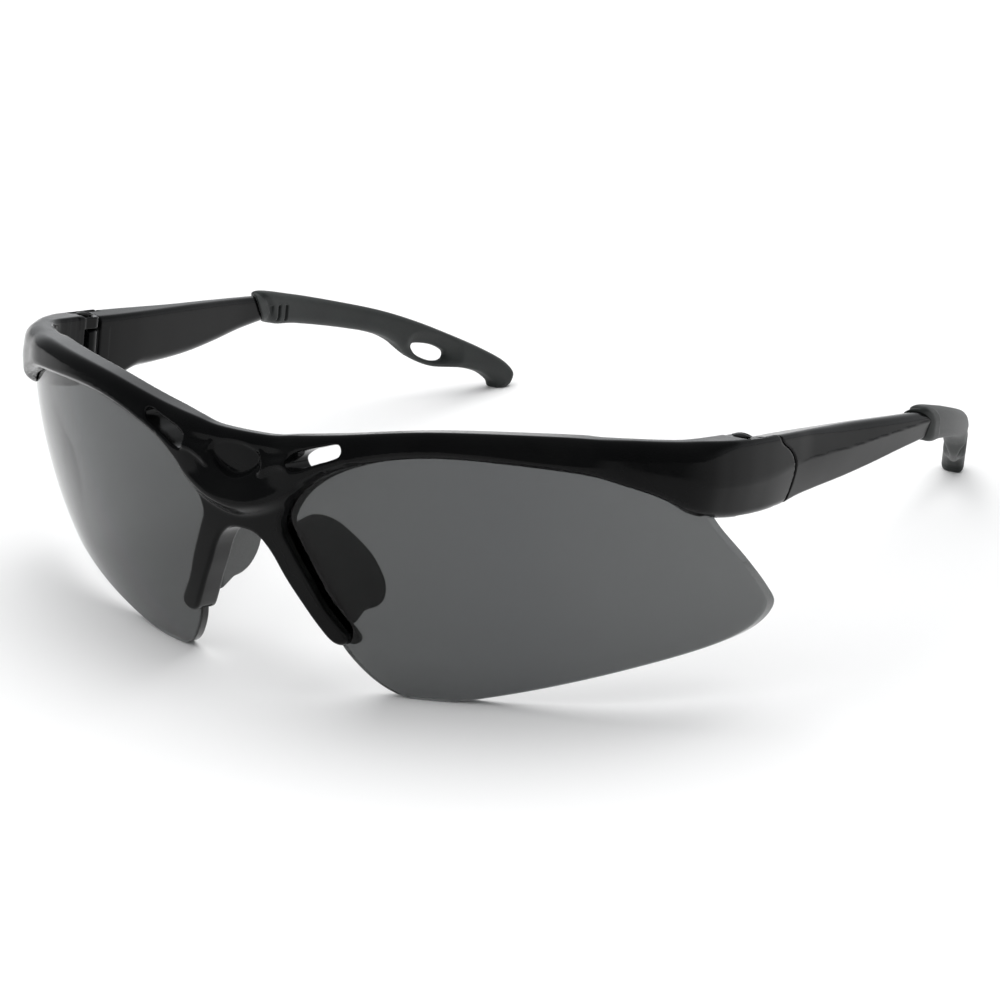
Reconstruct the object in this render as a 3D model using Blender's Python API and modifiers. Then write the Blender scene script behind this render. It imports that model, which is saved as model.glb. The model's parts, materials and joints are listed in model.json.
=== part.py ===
"""Half-frame wrap-around safety glasses, open, resting on the lens bottoms and the temple tips.

The pieces are modelled as they are worn: +X to the wearer's left, +Y back towards the ears, +Z up, with
the hinge axes vertical at Y = 0. One empty then tilts and lifts the whole object onto the plane Z = 0.
The left half is modelled, and the right half is its mirror image.
"""

import math

import bmesh
import bpy
from mathutils import Matrix, Vector

MM = 0.001
GAP = 0.3 * MM

# The lenses are parts of one sphere, and the front hugs it a little further out.
LENS_CENTRE = Vector((0.0, 49.9, 3.2)) * MM
LENS_RADIUS = 90.7 * MM
LENS_THICKNESS = 2.0 * MM
LENS_GRID = 6
FRONT_CENTRE = Vector((0.0, 49.9, 5.2)) * MM
FRONT_RADIUS = 93.3 * MM
REAR_LIP = 0.8 * MM
SPHERE_SEGMENTS = 96
SPHERE_RINGS = 64

# Bridge, vent slots and the relief between them.
SLOT_CENTRE = (14.4, -8.4)
SLOT_LENGTH = 8.4
SLOT_HEIGHT = 2.9
SLOT_SLOPE = math.radians(19)
RELIEF_CENTRE = Vector((0.0, -41.9, -11.0)) * MM
RELIEF_RADII = Vector((6.4, 1.7, 3.4)) * MM

# Hinges: a knuckle between two lugs, behind the endpiece's outer wall.
HINGE_X = 65.5 * MM
HINGE_Y = 1.2 * MM
KNUCKLE_RADIUS = 2.5 * MM
KNUCKLE_TOP = -3.3 * MM
KNUCKLE_BOTTOM = -9.0 * MM
LUG_TOP = -0.7 * MM
LUG_BOTTOM = -11.6 * MM
WALL_INSIDE = 68.3 * MM
POCKET_START = HINGE_Y - KNUCKLE_RADIUS - GAP
BORE_RADIUS = 1.0 * MM
SCREW_RADIUS = 0.7 * MM
SCREW_HEAD_RADIUS = 1.8 * MM
SCREW_HEAD_HEIGHT = 0.6 * MM

# Temples: a hard arm whose tongue ends inside the rubber tip.
TEMPLE_ROUNDING = 1.2 * MM
COLLAR_Y = 59.2
COLLAR_SLANT = 3.4 * MM
NECK_LENGTH = 2.6
NECK_STEP = 0.6
TONGUE_END = 84.0 * MM
TONGUE_HALF = (1.0 * MM, 1.7 * MM)
TONGUE_ROUNDING = 0.5 * MM
LIP_PROUD = 0.45 * MM
LIP_LENGTH = 3.0
TIP_HALF_THICKNESS = 2.2 * MM
TIP_ROUNDING = 1.0 * MM
GROOVE_PLACES = (65.4, 67.8)
GROOVE_WIDTH = 0.6 * MM
GROOVE_DEPTH = 0.5 * MM
GROOVE_HEIGHTS = (-6.0 * MM, -3.2 * MM)
TONGUE_START = 58 * MM
TONGUE_DROP = 3.3 * MM
TONGUE_SLOPE = 0.1

# The plane that the glasses rest on: it passes through this point of the tips and trims the lens bottoms.
TIP_FOOT = Vector((0.0, 127.0, -21.4)) * MM
LENS_TRIM = 0.4 * MM

# Nose pads: soft leaves pushed over a blade on the back of each nose leg.
PAD_SPLAY = math.radians(9.5)
PAD_TOP = Vector((7.3, -32.6, -23.5)) * MM
PAD_BOTTOM = Vector((12.9, -27.6, -36.6)) * MM
PAD_HALF_THICKNESS = 1.3 * MM
PAD_ROUNDING = 0.8 * MM
BLADE_THICKNESS = 0.8 * MM
BLADE_REACH = 4.5 * MM
BLADE_ROOT = 2.2
BLADE_TOP = -25.2
BLADE_BOTTOM = -33.4

FRONT_VIEW = Matrix(((1, 0, 0, 0), (0, 0, -1, 0), (0, 1, 0, 0), (0, 0, 0, 1)))
SIDE_VIEW = Matrix(((0, 0, 1, 0), (1, 0, 0, 0), (0, 1, 0, 0), (0, 0, 0, 1)))

# Outlines, in millimetres. FRONT_* are (x, z) of the left half seen from the front.
FRONT_TOP = [(-4.5, -6.9), (5.0, -6.9), (15.0, -5.7), (31.0, -3.0), (47.0, -1.3), (58.0, -0.8), (64.0, -1.2)]
FRONT_UNDER = [(64.0, -8.6), (61.0, -8.2), (55.0, -6.7), (45.0, -6.0), (34.0, -6.2),
               (25.0, -7.8), (17.1, -10.7), (11.8, -14.2), (8.9, -17.6), (7.6, -21.0), (8.8, -24.3),
               (11.0, -29.0), (13.1, -33.6), (15.9, -37.9)]
LEG_END = [(15.8, -39.2), (14.7, -40.1), (13.3, -39.7)]
LEG_NOSE_SIDE = [(11.3, -37.0), (9.3, -33.5), (7.3, -30.0), (5.5, -26.4), (3.8, -24.1),
                 (1.7, -22.9), (-1.7, -22.9), (-4.5, -24.5)]
LENS_OUTLINE = [(41.7, -4.5), (52.0, -4.9), (60.0, -6.4), (65.5, -9.3), (68.5, -14.2), (71.0, -18.9),
                (72.9, -23.9), (72.9, -27.4), (69.6, -31.3), (64.0, -34.6), (54.0, -39.1), (43.1, -43.5),
                (33.0, -47.0), (27.6, -48.6), (24.3, -48.9), (20.9, -48.3), (17.6, -46.1), (14.5, -42.0),
                (12.7, -37.6), (10.2, -32.0), (7.9, -27.6), (6.7, -23.4), (6.9, -18.6), (9.6, -14.4),
                (14.0, -11.6), (21.7, -7.5), (31.0, -4.9)]

# (y, z) of the endpiece's rear edge, of the rubber tip and of its cord slot, seen from the side.
WALL_EDGE = [(7.7, 1.0), (8.7, -1.8), (11.7, -3.4), (13.8, -6.2), (14.4, -9.2), (13.5, -13.5)]
TIP_OUTLINE = [(61.4, -0.3), (72.0, -1.2), (84.0, -2.9), (95.0, -4.8), (104.7, -7.3), (114.6, -10.6),
               (121.5, -13.2), (126.6, -15.6), (129.2, -18.0), (128.9, -20.2), (127.9, -21.3),
               (125.9, -21.7), (125.0, -20.2), (121.6, -18.2), (116.0, -17.1), (109.5, -16.8),
               (103.6, -14.7), (99.3, -11.6), (94.0, -9.6), (84.0, -8.1), (72.0, -6.9),
               (64.8, -6.5), (62.6, -3.3)]
CORD_SLOT = [(104.0, -12.2), (108.4, -12.4), (111.6, -13.6), (112.0, -14.9), (110.0, -15.6), (106.6, -14.8)]
# (y, z) of a nose pad seen from the side, before it is splayed.
PAD_OUTLINE = [(-31.6, -21.2), (-28.0, -20.4), (-24.8, -21.3), (-21.4, -23.7), (-18.2, -27.0), (-16.3, -31.0),
               (-16.6, -34.2), (-18.6, -36.5), (-21.6, -36.8), (-24.4, -36.9), (-25.4, -35.8), (-27.7, -32.4),
               (-30.4, -26.4)]

# Cross-sections of the endpiece: outer face x, y, top z, bottom z, thickness.
ENDPIECE = [(53.0, -27.2, -1.7, -6.2, 3.8), (59.0, -22.0, -0.9, -7.8, 4.9), (63.0, -18.2, -0.7, -9.4, 5.0),
            (65.8, -14.8, -0.6, -11.1, 5.2), (67.6, -11.3, -0.5, -12.1, 5.6), (68.6, -7.0, -0.5, -12.4, 6.0),
            (69.2, -2.0, -0.5, -12.4, 6.3), (69.5, 4.0, -0.5, -12.2, 6.5), (69.8, 16.0, -0.5, -11.7, 6.5)]
# Cross-sections of the temple: y, outer face x, top z, bottom z, thickness.
TEMPLE = [(4.5, 69.5, -0.5, -12.1, 5.2), (9.0, 69.6, -0.5, -12.0, 5.2), (16.0, 69.8, -0.5, -11.5, 5.0),
          (26.0, 70.2, -0.5, -10.5, 4.7), (36.0, 70.6, -0.4, -9.3, 4.3), (46.0, 71.0, -0.3, -7.9, 3.9),
          (54.0, 71.2, -0.3, -6.8, 3.6), (58.9, 71.3, -0.3, -6.2, 3.5)]
# Bow of the temple's middle surface in plan: y, x.
BOW = [(50.0, 69.8), (60.0, 69.5), (75.0, 68.1), (90.0, 65.0), (105.0, 60.4), (118.0, 55.8), (130.0, 51.2)]

COLOURS = {
    "gloss_black": ((0.012, 0.012, 0.013, 1.0), 0.12, 1.0),
    "smoke_lens": ((0.09, 0.095, 0.1, 1.0), 0.05, 0.45),
    "matt_rubber": ((0.03, 0.034, 0.032, 1.0), 0.75, 1.0),
    "screw_steel": ((0.32, 0.32, 0.33, 1.0), 0.3, 1.0),
}


def clear_scene():
    for obj in list(bpy.data.objects):
        bpy.data.objects.remove(obj, do_unlink=True)


def new_collection(name):
    collection = bpy.data.collections.new(name)
    bpy.context.scene.collection.children.link(collection)
    return collection


def material(name):
    colour, roughness, alpha = COLOURS[name]
    found = bpy.data.materials.get(name)
    if found:
        return found
    made = bpy.data.materials.new(name)
    made.use_nodes = True
    shader = made.node_tree.nodes["Principled BSDF"]
    shader.inputs["Base Color"].default_value = colour
    shader.inputs["Roughness"].default_value = roughness
    shader.inputs["Alpha"].default_value = alpha
    shader.inputs["Metallic"].default_value = 1.0 if name == "screw_steel" else 0.0
    return made


def mesh_object(name, bm):
    bmesh.ops.recalc_face_normals(bm, faces=bm.faces)
    mesh = bpy.data.meshes.new(name)
    bm.to_mesh(mesh)
    bm.free()
    obj = bpy.data.objects.new(name, mesh)
    CUTTERS.objects.link(obj)
    obj.hide_render = True
    obj.display_type = "WIRE"
    return obj


def finish_part(obj, name, finish, parent=None):
    """Name a finished solid, give it its material and put it in the object's collection."""
    obj.name = name
    obj.data.name = name
    CUTTERS.objects.unlink(obj)
    PARTS.objects.link(obj)
    obj.hide_render = False
    obj.display_type = "TEXTURED"
    obj.data.materials.clear()
    obj.data.materials.append(material(finish))
    obj.data.shade_smooth()
    obj.data.set_sharp_from_angle(angle=math.radians(40))
    if parent:
        obj.data.transform(Matrix.Translation(-parent.location))
        obj.parent = parent
    return obj


def mirrored(obj, name):
    mesh = obj.data.copy()
    mesh.transform(Matrix.Scale(-1.0, 4, Vector((1, 0, 0))))
    mesh.flip_normals()
    copy = bpy.data.objects.new(name, mesh)
    CUTTERS.objects.link(copy)
    return copy


def apply_modifiers(obj):
    bpy.context.view_layer.update()
    evaluated = obj.evaluated_get(bpy.context.evaluated_depsgraph_get())
    mesh = bpy.data.meshes.new_from_object(evaluated)
    obj.modifiers.clear()
    obj.data = mesh


def boolean(target, cutter, operation):
    """Apply a Boolean to the target and remove the cutter."""
    modifier = target.modifiers.new(operation, "BOOLEAN")
    modifier.operation = operation
    modifier.object = cutter
    apply_modifiers(target)
    bpy.data.objects.remove(cutter, do_unlink=True)
    return target


def outline_solid(name, points, view, middle, half_depth, rounding=0.0, resolution=3):
    """A flat outline with smooth sides, extruded both ways from middle along the view's depth."""
    curve = bpy.data.curves.new(name, "CURVE")
    curve.dimensions = "2D"
    curve.fill_mode = "BOTH"
    curve.extrude = half_depth - rounding
    curve.bevel_depth = rounding
    curve.bevel_resolution = 1
    curve.offset = -rounding
    curve.resolution_u = resolution
    spline = curve.splines.new("BEZIER")
    spline.bezier_points.add(len(points) - 1)
    spline.use_cyclic_u = True
    for point, (x, y) in zip(spline.bezier_points, points):
        point.co = (x * MM, y * MM, 0.0)
        point.handle_left_type = "AUTO"
        point.handle_right_type = "AUTO"
    return from_curve(name, curve, view @ Matrix.Translation((0, 0, middle)))


def from_curve(name, curve, matrix):
    """The solid of a curve as a mesh, with its caps welded."""
    guide = bpy.data.objects.new(name + "_guide", curve)
    CUTTERS.objects.link(guide)
    bpy.context.view_layer.update()
    evaluated = guide.evaluated_get(bpy.context.evaluated_depsgraph_get())
    mesh = bpy.data.meshes.new_from_object(evaluated)
    bpy.data.objects.remove(guide, do_unlink=True)
    bm = bmesh.new()
    bm.from_mesh(mesh)
    bmesh.ops.remove_doubles(bm, verts=bm.verts, dist=0.00001)
    bm.transform(matrix)
    return mesh_object(name, bm)


def sphere(name, centre, radius, segments=SPHERE_SEGMENTS, rings=SPHERE_RINGS):
    """A sphere whose meridians straddle the middle plane, so that the mirror cuts across its faces."""
    bm = bmesh.new()
    bmesh.ops.create_uvsphere(bm, u_segments=segments, v_segments=rings, radius=radius)
    half_segment = math.pi / segments
    bm.transform(Matrix.Translation(centre) @ Matrix.Rotation(half_segment, 4, "Z"))
    return mesh_object(name, bm)


def cylinder(name, x, y, bottom, top, radius, segments=32):
    bm = bmesh.new()
    height = top - bottom
    bmesh.ops.create_cone(bm, cap_ends=True, segments=segments, radius1=radius, radius2=radius, depth=height)
    bm.transform(Matrix.Translation((x, y, (top + bottom) / 2)))
    return mesh_object(name, bm)


def block(name, low, high):
    bm = bmesh.new()
    bmesh.ops.create_cube(bm, size=1.0)
    size = Vector(high) - Vector(low)
    bm.transform(Matrix.Translation((Vector(high) + Vector(low)) / 2) @ Matrix.Diagonal((*size, 1.0)))
    return mesh_object(name, bm)


def rounded_ring(centre, side, up, half_width, half_height, radius, steps=3):
    """A rounded rectangle of points around centre, in the plane of side and up."""
    ring = []
    for quarter, (sx, sy) in enumerate(((1, 1), (-1, 1), (-1, -1), (1, -1))):
        for step in range(steps + 1):
            angle = math.radians(90) * (quarter + step / steps)
            across = sx * (half_width - radius) + radius * math.cos(angle)
            along = sy * (half_height - radius) + radius * math.sin(angle)
            ring.append(centre + side * across + up * along)
    return ring


def loft(name, rings):
    """A closed solid through rings with the same number of points."""
    bm = bmesh.new()
    rows = [[bm.verts.new(point) for point in ring] for ring in rings]
    count = len(rows[0])
    for first, second in zip(rows, rows[1:]):
        for i in range(count):
            bm.faces.new((first[i], first[(i + 1) % count], second[(i + 1) % count], second[i]))
    bm.faces.new(rows[0])
    bm.faces.new(reversed(rows[-1]))
    return mesh_object(name, bm)


def smooth_between(stations, position):
    """Value at a position along stations of (position, value), on a smooth curve through them."""
    places = [station[0] for station in stations]
    values = [station[1] for station in stations]
    if position <= places[0]:
        return values[0] + (position - places[0]) * (values[1] - values[0]) / (places[1] - places[0])
    if position >= places[-1]:
        return values[-1] + (position - places[-1]) * (values[-1] - values[-2]) / (places[-1] - places[-2])
    i = max(k for k in range(len(places) - 1) if places[k] <= position)

    def slope(k):
        low, high = max(k - 1, 0), min(k + 1, len(places) - 1)
        return (values[high] - values[low]) / (places[high] - places[low])

    span = places[i + 1] - places[i]
    t = (position - places[i]) / span
    start = (2 * t ** 3 - 3 * t ** 2 + 1) * values[i] + (t ** 3 - 2 * t ** 2 + t) * span * slope(i)
    end = (3 * t ** 2 - 2 * t ** 3) * values[i + 1] + (t ** 3 - t ** 2) * span * slope(i + 1)
    return start + end


def bow_x(y):
    return smooth_between(BOW, y / MM) * MM


def grown(points, amount):
    """An outline moved outwards by an amount in millimetres."""
    moved = []
    for i, point in enumerate(points):
        before = Vector(points[i - 1])
        after = Vector(points[(i + 1) % len(points)])
        along = (after - before).normalized()
        moved.append((point[0] - along.y * amount, point[1] + along.x * amount))
    return moved


def lens_solid(name, clearance=0.0):
    """The outline laid on the lens sphere along Y, and thickened inwards along the radii."""
    bm = bmesh.new()
    outline = closed_path(grown(LENS_OUTLINE, clearance / MM))
    bm.faces.new([bm.verts.new((x * MM, 0.0, z * MM)) for x, z in outline])
    for normal, low, high in (((1, 0, 0), 8, 73), ((0, 0, 1), -48, -4)):
        for place in range(low, high, LENS_GRID):
            geometry = bm.verts[:] + bm.edges[:] + bm.faces[:]
            point = Vector(normal) * place * MM
            bmesh.ops.bisect_plane(bm, geom=geometry, plane_co=point, plane_no=normal)
    outer = LENS_RADIUS + clearance
    for vertex in bm.verts:
        x, z = vertex.co.x, vertex.co.z - LENS_CENTRE.z
        vertex.co.y = LENS_CENTRE.y - math.sqrt(outer ** 2 - x ** 2 - z ** 2)
    sheet = mesh_object(name, bm)
    if sheet.data.polygons[0].normal.y > 0:
        sheet.data.flip_normals()
    solidify = sheet.modifiers.new("thickness", "SOLIDIFY")
    solidify.thickness = LENS_THICKNESS + 2 * clearance
    solidify.offset = -1.0
    apply_modifiers(sheet)
    return sheet


def closed_path(points, steps=3):
    """Points on a smooth closed curve through an outline's points."""
    count = len(points)
    path = []
    for i in range(count):
        before, start, end, after = (Vector(points[(i + k) % count]) for k in (-1, 0, 1, 2))
        for step in range(steps):
            t = step / steps
            tangent_in = (end - before) / 2
            tangent_out = (after - start) / 2
            point = start * (2 * t ** 3 - 3 * t ** 2 + 1) + tangent_in * (t ** 3 - 2 * t ** 2 + t)
            point += end * (3 * t ** 2 - 2 * t ** 3) + tangent_out * (t ** 3 - t ** 2)
            path.append((point.x, point.y))
    return path


def slot_solid():
    """Cutter for the left vent slot: a slanted slot with round ends, right through the brow."""
    reach = (SLOT_LENGTH - SLOT_HEIGHT) / 2
    points = []
    for end in (1, -1):
        for step in range(7):
            angle = math.radians(-90 + 30 * step) + (0 if end == 1 else math.pi)
            along = end * reach + SLOT_HEIGHT / 2 * math.cos(angle)
            across = SLOT_HEIGHT / 2 * math.sin(angle)
            x = SLOT_CENTRE[0] + along * math.cos(SLOT_SLOPE) - across * math.sin(SLOT_SLOPE)
            z = SLOT_CENTRE[1] + along * math.sin(SLOT_SLOPE) + across * math.cos(SLOT_SLOPE)
            points.append((x, z))
    return outline_solid("vent_slot", points, FRONT_VIEW, 40 * MM, 20 * MM, resolution=1)


def endpiece_rings():
    rings = []
    up = Vector((0, 0, 1))
    for i, (x, y, top, bottom, thickness) in enumerate(ENDPIECE):
        before = Vector(ENDPIECE[max(i - 1, 0)][:2])
        after = Vector(ENDPIECE[min(i + 1, len(ENDPIECE) - 1)][:2])
        along = (after - before).normalized()
        inward = Vector((-along.y, along.x, 0))
        centre = Vector((x, y, (top + bottom) / 2)) + inward * thickness / 2
        ring = rounded_ring(centre * MM, -inward, up, thickness / 2 * MM, (top - bottom) / 2 * MM, 1.4 * MM)
        rings.append(ring)
    return rings


def wall_edge_solid(name, clearance, inside, outside):
    """Cutter for everything in front of the endpiece's curved rear edge, between two x positions."""
    edge = [(y + clearance / MM, z) for y, z in WALL_EDGE]
    box = [(-30.0, -13.5), (-30.0, 1.0)]
    middle = (inside + outside) / 2
    return outline_corners(name, smooth_path(edge) + box, SIDE_VIEW, middle, (outside - inside) / 2)


def smooth_path(points, steps=4):
    """Points on a smooth curve through an open row of points."""
    rows = []
    for axis in (0, 1):
        rows.append([(i, point[axis]) for i, point in enumerate(points)])
    total = (len(points) - 1) * steps
    return [tuple(smooth_between(row, k / steps) for row in rows) for k in range(total + 1)]


def outline_corners(name, points, view, middle, half_depth):
    """A flat outline with straight sides, extruded both ways from middle along the view's depth."""
    bm = bmesh.new()
    low = [bm.verts.new((x * MM, y * MM, middle - half_depth)) for x, y in points]
    high = [bm.verts.new((x * MM, y * MM, middle + half_depth)) for x, y in points]
    for i in range(len(points)):
        j = (i + 1) % len(points)
        bm.faces.new((low[i], low[j], high[j], high[i]))
    bm.faces.new(low)
    bm.faces.new(reversed(high))
    bm.transform(view)
    return mesh_object(name, bm)


def lug(name, bottom, top):
    """A hinge lug: a round boss joined to the endpiece in front of it and to the wall beside it."""
    boss = cylinder(name, HINGE_X, HINGE_Y, bottom, top, KNUCKLE_RADIUS)
    front = POCKET_START - 2 * MM
    middle = HINGE_Y + KNUCKLE_RADIUS * 0.3
    middle_x = HINGE_X + KNUCKLE_RADIUS * 0.1
    to_front = block("to_front", (HINGE_X - KNUCKLE_RADIUS, front, bottom), (68.8 * MM, middle, top))
    side = HINGE_Y + KNUCKLE_RADIUS * 0.98
    to_wall = block("to_wall", (middle_x, front, bottom), (68.9 * MM, side, top))
    boolean(boss, to_front, "UNION")
    return boolean(boss, to_wall, "UNION")


def pad_leaf(name, outline, half_thickness, rounding):
    """A leaf on the nose pad's plane: the outline's y is measured along the splayed plane."""
    leaf = outline_solid(name, outline, SIDE_VIEW, 0.0, half_thickness, rounding, resolution=2)
    slope = (PAD_BOTTOM.x - PAD_TOP.x) / (PAD_BOTTOM.z - PAD_TOP.z)
    lean = (PAD_BOTTOM.y - PAD_TOP.y) / (PAD_BOTTOM.z - PAD_TOP.z)
    splay = math.tan(PAD_SPLAY)
    for vertex in leaf.data.vertices:
        height = vertex.co.z - PAD_TOP.z
        leg_y = PAD_TOP.y + lean * height
        vertex.co.x += PAD_TOP.x + slope * height + (vertex.co.y - leg_y) * splay
    return leaf


def blade_outline(clearance=0.0):
    """Blade behind the nose leg: (y, z) from inside the leg to its reach behind it."""
    grow = clearance / MM
    reach = BLADE_REACH / MM + grow
    top, bottom = BLADE_TOP + grow, BLADE_BOTTOM - grow
    rows = []
    for z in (top, bottom):
        share = (z * MM - PAD_TOP.z) / (PAD_BOTTOM.z - PAD_TOP.z)
        rows.append((PAD_TOP.y + share * (PAD_BOTTOM.y - PAD_TOP.y)) / MM)
    front = [row - BLADE_ROOT for row in rows]
    return [(front[0], top), (rows[0] + reach, top), (rows[1] + reach, bottom), (front[1], bottom)]


def blade_solid(name, clearance=0.0):
    leaf = outline_corners(name, blade_outline(clearance), SIDE_VIEW, 0.0, BLADE_THICKNESS / 2 + clearance)
    slope = (PAD_BOTTOM.x - PAD_TOP.x) / (PAD_BOTTOM.z - PAD_TOP.z)
    lean = (PAD_BOTTOM.y - PAD_TOP.y) / (PAD_BOTTOM.z - PAD_TOP.z)
    for vertex in leaf.data.vertices:
        height = vertex.co.z - PAD_TOP.z
        leg_y = PAD_TOP.y + lean * height
        vertex.co.x += PAD_TOP.x + slope * height + (vertex.co.y - leg_y) * math.tan(PAD_SPLAY)
    return leaf


def make_front():
    """The moulded front: brow, bridge, nose legs and endpieces in one piece."""
    outline = FRONT_TOP + FRONT_UNDER + LEG_END + LEG_NOSE_SIDE
    front = outline_solid("front", outline, FRONT_VIEW, 20 * MM, 40 * MM)
    boolean(front, sphere("front_face", FRONT_CENTRE, FRONT_RADIUS), "INTERSECT")
    back_radius = LENS_RADIUS - LENS_THICKNESS - GAP - REAR_LIP
    boolean(front, sphere("front_back", LENS_CENTRE, back_radius), "DIFFERENCE")
    endpiece = loft("endpiece", endpiece_rings())
    pocket = block("pocket", (50 * MM, POCKET_START, -20 * MM), (WALL_INSIDE, 20 * MM, 5 * MM))
    boolean(endpiece, pocket, "DIFFERENCE")
    boolean(endpiece, wall_edge_solid("wall_edge", 0.0, 50 * MM, 80 * MM), "INTERSECT")
    boolean(front, endpiece, "UNION")
    boolean(front, lug("upper_lug", KNUCKLE_TOP + GAP, LUG_TOP), "UNION")
    boolean(front, lug("lower_lug", LUG_BOTTOM, KNUCKLE_BOTTOM - GAP), "UNION")
    boolean(front, blade_solid("pad_blade"), "UNION")
    boolean(front, lens_solid("lens_groove", GAP), "DIFFERENCE")
    boolean(front, slot_solid(), "DIFFERENCE")
    bore = cylinder("screw_bore", HINGE_X, HINGE_Y, -20 * MM, 5 * MM, BORE_RADIUS, 16)
    boolean(front, bore, "DIFFERENCE")
    mirror = front.modifiers.new("mirror", "MIRROR")
    mirror.use_bisect_axis[0] = True
    mirror.use_clip = True
    mirror.merge_threshold = 0.00002
    apply_modifiers(front)
    relief = sphere("relief", Vector((0, 0, 0)), 1.0, 32, 18)
    relief.data.transform(Matrix.Translation(RELIEF_CENTRE) @ Matrix.Diagonal((*RELIEF_RADII, 1.0)))
    boolean(front, relief, "UNION")
    return finish_part(front, "front_frame", "gloss_black")


def section_ring(y, x, top, bottom, thickness, grow=0.0, slanting=False):
    """A rounded rectangle across the temple, given in millimetres, and grown by an amount in metres."""
    centre = Vector((x - thickness / 2, y, (top + bottom) / 2)) * MM
    half_width = thickness / 2 * MM + grow
    half_height = (top - bottom) / 2 * MM + grow
    corner = TEMPLE_ROUNDING + grow
    ring = rounded_ring(centre, Vector((1, 0, 0)), Vector((0, 0, 1)), half_width, half_height, corner)
    if slanting:
        ring = [slanted(point, top * MM, bottom * MM) for point in ring]
    return ring


def neck_rings(grow=0.0, start=TEMPLE[-1][0]):
    """The narrow end of the temple under the collar."""
    narrow = TEMPLE[-1][1:]
    ends = (start, COLLAR_Y + NECK_LENGTH)
    return [section_ring(y, *narrow, grow - NECK_STEP * MM, True) for y in ends]


def temple_rings():
    rings = [section_ring(*station) for station in TEMPLE[:-1]]
    rings.append(section_ring(*TEMPLE[-1], 0.0, True))
    return rings + neck_rings()


def slanted(point, top, bottom):
    """Push a point back in proportion to its depth below the temple's top, as the collar slants."""
    share = (top - point.z) / (top - bottom)
    return point + Vector((0, COLLAR_SLANT * share, 0))


def tongue(name, grow=0.0):
    rings = []
    up = Vector((0, 0, 1))
    side = Vector((1, 0, 0))
    end = TONGUE_END + grow
    for step in range(6):
        y = TONGUE_START + (end - TONGUE_START) * step / 5
        z = -TONGUE_DROP - TONGUE_SLOPE * max(0.0, y - COLLAR_Y * MM)
        centre = Vector((bow_x(y), y, z))
        half_width, half_height = (half + grow for half in TONGUE_HALF)
        rings.append(rounded_ring(centre, side, up, half_width, half_height, TONGUE_ROUNDING + grow, 2))
    return loft(name, rings)


def make_temple():
    temple = loft("temple", temple_rings())
    boolean(temple, wall_edge_solid("wall", GAP, WALL_INSIDE - GAP, 80 * MM), "DIFFERENCE")
    knuckle = cylinder("knuckle", HINGE_X, HINGE_Y, KNUCKLE_BOTTOM, KNUCKLE_TOP, KNUCKLE_RADIUS)
    tang_side = HINGE_X + KNUCKLE_RADIUS * 0.85
    tang = block("tang", (HINGE_X - 0.8 * MM, HINGE_Y, KNUCKLE_BOTTOM), (tang_side, 7 * MM, KNUCKLE_TOP))
    boolean(knuckle, tang, "UNION")
    boolean(temple, knuckle, "UNION")
    boolean(temple, cylinder("bore", HINGE_X, HINGE_Y, -20 * MM, 5 * MM, BORE_RADIUS, 16), "DIFFERENCE")
    boolean(temple, tongue("tongue"), "UNION")
    return temple


def make_tip():
    """Rubber sleeve: a rounded outline bent along the bow, with a lip and a pocket for the tongue."""
    tip = outline_solid("tip", TIP_OUTLINE, SIDE_VIEW, 0.0, TIP_HALF_THICKNESS, TIP_ROUNDING)
    boolean(tip, outline_solid("cord_slot", CORD_SLOT, SIDE_VIEW, 0.0, 10 * MM), "DIFFERENCE")
    bm = bmesh.new()
    bm.from_mesh(tip.data)
    for y in range(64, 128, 6):
        geometry = bm.verts[:] + bm.edges[:] + bm.faces[:]
        bmesh.ops.bisect_plane(bm, geom=geometry, plane_co=(0, y * MM, 0), plane_no=(0, 1, 0))
    for vertex in bm.verts:
        vertex.co.x += bow_x(vertex.co.y)
    bm.to_mesh(tip.data)
    bm.free()
    boolean(tip, lip_solid(), "UNION")
    boolean(tip, loft("pocket_mouth", neck_rings(GAP, TEMPLE[-1][0] - 2)), "DIFFERENCE")
    boolean(tip, tongue("tongue_pocket", GAP), "DIFFERENCE")
    for place in GROOVE_PLACES:
        y = place * MM
        inner = bow_x(y) - TIP_HALF_THICKNESS
        low = (inner - 2 * MM, y - GROOVE_WIDTH / 2, GROOVE_HEIGHTS[0])
        high = (inner + GROOVE_DEPTH, y + GROOVE_WIDTH / 2, GROOVE_HEIGHTS[1])
        boolean(tip, block("groove", low, high), "DIFFERENCE")
    return tip


def lip_solid():
    """The collar round the end of the temple, standing a little proud of it."""
    section = TEMPLE[-1][1:]
    rings = []
    for y, inset in ((0.0, 0.3), (0.4, 0.0), (1.6, 0.0), (LIP_LENGTH, 0.7)):
        rings.append(section_ring(COLLAR_Y + y, *section, LIP_PROUD - inset * MM, True))
    return loft("lip", rings)


def make_screw():
    """A small screw with a domed head that stands on the endpiece, and a plain shank."""
    screw = cylinder("screw", HINGE_X, HINGE_Y, LUG_BOTTOM + 0.4 * MM, LUG_TOP + 0.5 * MM, SCREW_RADIUS, 24)
    head_low = LUG_TOP + GAP
    head = cylinder("head", HINGE_X, HINGE_Y, head_low, head_low + SCREW_HEAD_HEIGHT, SCREW_HEAD_RADIUS, 24)
    for vertex in head.data.vertices:
        if vertex.co.z > head_low + SCREW_HEAD_HEIGHT / 2:
            vertex.co.x = HINGE_X + (vertex.co.x - HINGE_X) * 0.78
            vertex.co.y = HINGE_Y + (vertex.co.y - HINGE_Y) * 0.78
    return boolean(screw, head, "UNION")


def make_pad():
    pad = pad_leaf("pad", PAD_OUTLINE, PAD_HALF_THICKNESS, PAD_ROUNDING)
    return boolean(pad, blade_solid("blade_pocket", GAP), "DIFFERENCE")


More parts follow.
